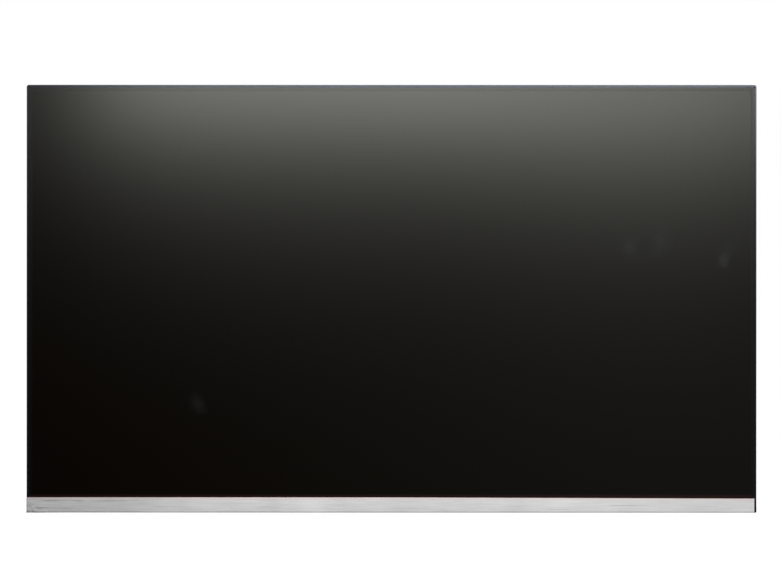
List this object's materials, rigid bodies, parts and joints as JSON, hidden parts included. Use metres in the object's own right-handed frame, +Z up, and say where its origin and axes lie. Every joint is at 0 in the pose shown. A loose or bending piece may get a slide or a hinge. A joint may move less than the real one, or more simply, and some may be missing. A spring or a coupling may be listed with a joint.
{
  "type": "lcd screen panel",
  "caption": "Slim edge-lit display module with a matt black screen, thin rims on three sides, a bare metal strip along the bottom and a pressed metal back with a driver board.",
  "frame": {"origin": "centre of the four rear mounting holes, on the plane of their bosses, which is the centre of the panel seen from the front", "axes": "+X to the right as the viewer sees the screen, +Y from the front to the back, +Z up"},
  "size_m": [0.535, 0.0122, 0.3136],
  "materials": {
    "screen_film": "matt anti-glare, black with the panel off",
    "cell_glass": "clear",
    "rear_film": "smooth",
    "foam_tape": "matt foam",
    "flex_film": "amber polyimide",
    "chip_silicon": "polished silicon",
    "frame_black": "fine moulded, blue-black",
    "cover_steel": "galvanised",
    "bezel_steel": "bare rolled, lightly scuffed",
    "board_green": "solder mask",
    "insulator_black": "matt film",
    "chip_black": "moulded epoxy",
    "capacitor_tan": "ceramic",
    "inductor_grey": "pressed powder",
    "socket_ivory": "moulded",
    "socket_metal": "tinned",
    "contact_gold": "plated",
    "screw_zinc": "zinc plated",
    "shield_steel": "tinned",
    "prism_film": "fine prism lines",
    "diffuser_white": "milky",
    "guide_acrylic": "clear acrylic",
    "pad_rubber": "matt",
    "reflector_white": "white foamed film",
    "thermal_tape": "matt",
    "led_board_white": "white solder mask on aluminium",
    "led_yellow": "phosphor in a white body"
  },
  "bodies": {
    "root": {"front_polarizer": "screen_film", "color_filter_glass": "cell_glass", "array_glass": "cell_glass", "rear_polarizer": "rear_film", "cell_tape": "foam_tape", "driver_films": "flex_film", "driver_chips": "chip_silicon", "mid_frame": "frame_black", "back_cover": "cover_steel", "bottom_bezel": "bezel_steel", "driver_board": "board_green", "board_insulator": "insulator_black", "timing_chip": "chip_black", "power_chip": "chip_black", "board_capacitors": "capacitor_tan", "board_inductors": "inductor_grey", "signal_socket_housing": "socket_ivory", "signal_socket_shell": "socket_metal", "signal_socket_contacts": "contact_gold", "backlight_socket": "socket_ivory", "board_screws": "screw_zinc", "board_shield": "shield_steel", "upper_prism_sheet": "prism_film", "lower_prism_sheet": "prism_film", "diffuser_sheet": "diffuser_white", "light_guide": "guide_acrylic", "light_guide_pads": "pad_rubber", "reflector_sheet": "reflector_white", "led_tape": "thermal_tape", "led_board": "led_board_white", "leds": "led_yellow", "led_tail": "flex_film"}
  },
  "joints": []
}
